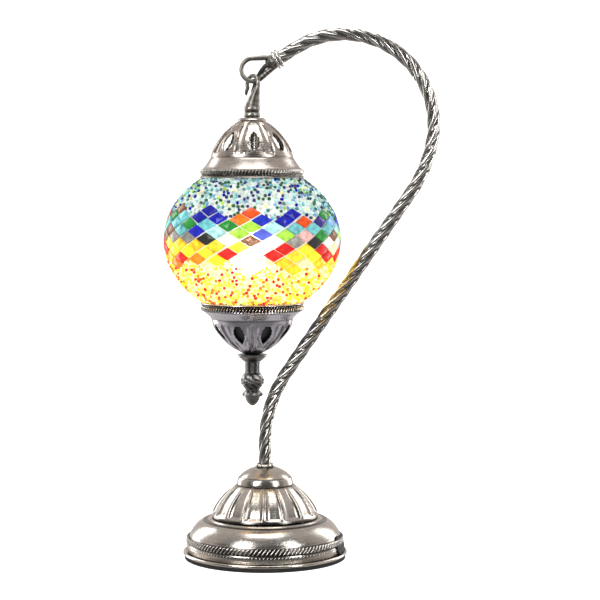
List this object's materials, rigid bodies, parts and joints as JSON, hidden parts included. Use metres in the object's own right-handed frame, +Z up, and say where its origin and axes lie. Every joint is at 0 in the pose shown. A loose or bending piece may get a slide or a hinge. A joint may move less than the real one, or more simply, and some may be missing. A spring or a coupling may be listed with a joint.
{
  "type": "mosaic glass table lamp",
  "caption": "Table lamp with a mosaic glass globe between pierced metal caps, hung by a hook from a twisted swan neck arm on a stepped, fluted, weighted base, with a gland for its mains cord.",
  "frame": {"origin": "centre of the base's resting face on the table", "axes": "+Z up; the arm bends in the XZ plane, out over +X and back to the lantern on -X; the cord gland is on the base's +X side"},
  "size_m": [0.204, 0.1315, 0.391],
  "materials": {
    "antique_silver": "antique silver plate, brushed, dark in the recesses",
    "twisted_silver": "antique silver plate with dark grooves",
    "cap_bronze": "antique silver plate with a warm brown patina",
    "cap_pewter": "antique silver plate, cool grey",
    "hook_iron": "dark antique cast, rough",
    "zinc_steel": "zinc plated",
    "weight_iron": "bare casting",
    "pad_foam": "matte black",
    "terminal_plastic": "off white",
    "flex_black": "soft black PVC",
    "moulded_black": "satin black",
    "holder_black": "matte black",
    "bulb_metal": "bright",
    "bulb_lit": "frosted, lit warm",
    "globe_glass": "clear blown",
    "white_grout": "matte white",
    "beads_cool": "small round beads in blue, green and clear",
    "beads_warm": "small round beads in yellow, orange and red",
    "tiles_warm": "cut glass in red, gold and yellow",
    "tiles_grey": "cut mirror and opal glass in grey, black and white",
    "tiles_aqua": "cut glass in aqua, green and lime",
    "tiles_blue": "cut glass in cobalt, green and orange"
  },
  "bodies": {
    "stand": {"base_pad": "pad_foam", "bottom_plate": "antique_silver", "base_shell": "antique_silver", "base_weight": "weight_iron", "base_dome": "antique_silver", "base_cap": "antique_silver", "arm_nipple": "zinc_steel", "nipple_washer": "zinc_steel", "nipple_nut": "zinc_steel", "terminal_block": "terminal_plastic", "inner_leads": "flex_black", "arm_collar": "antique_silver", "arm_tube": "twisted_silver", "arm_lead": "flex_black", "arm_end_collar": "twisted_silver", "arm_end_eye": "hook_iron", "cord_gland": "moulded_black"},
    "lantern": {"crook_hook": "hook_iron", "lantern_nipple": "zinc_steel", "nipple_locknut": "zinc_steel", "top_cap": "cap_bronze", "top_bridge": "zinc_steel", "lampholder": "holder_black", "bulb_base": "bulb_metal", "bulb_glass": "bulb_lit", "glass_globe": "globe_glass", "grout": "white_grout", "bead_band_upper": "beads_cool", "bead_band_lower": "beads_warm", "tile_row_1": "tiles_warm", "tile_row_2": "tiles_warm", "tile_row_3": "tiles_warm", "tile_row_4": "tiles_warm", "tile_row_5": "tiles_grey", "tile_row_6": "tiles_aqua", "tile_row_7": "tiles_aqua", "tile_row_8": "tiles_blue", "tile_row_9": "tiles_blue", "bottom_cap": "cap_pewter", "bottom_liner": "holder_black", "bottom_bridge": "zinc_steel", "bottom_stud": "zinc_steel", "finial": "cap_pewter"},
    "flex_link": {"hook_flex": "flex_black"}
  },
  "joints": [
    {"name": "lantern_swing", "type": "hinge", "parent": "stand", "child": "flex_link", "pos_m": [-0.0086, 0, 0.36], "axis": [0, 1, 0], "range_deg": [-0.5, 25], "deforming": ["hook_flex"]},
    {"name": "lantern_side_swing", "type": "hinge", "parent": "flex_link", "child": "lantern", "pos_m": [-0.0086, 0, 0.3517], "axis": [1, 0, 0], "range_deg": [-25, 25], "deforming": ["hook_flex"]}
  ]
}
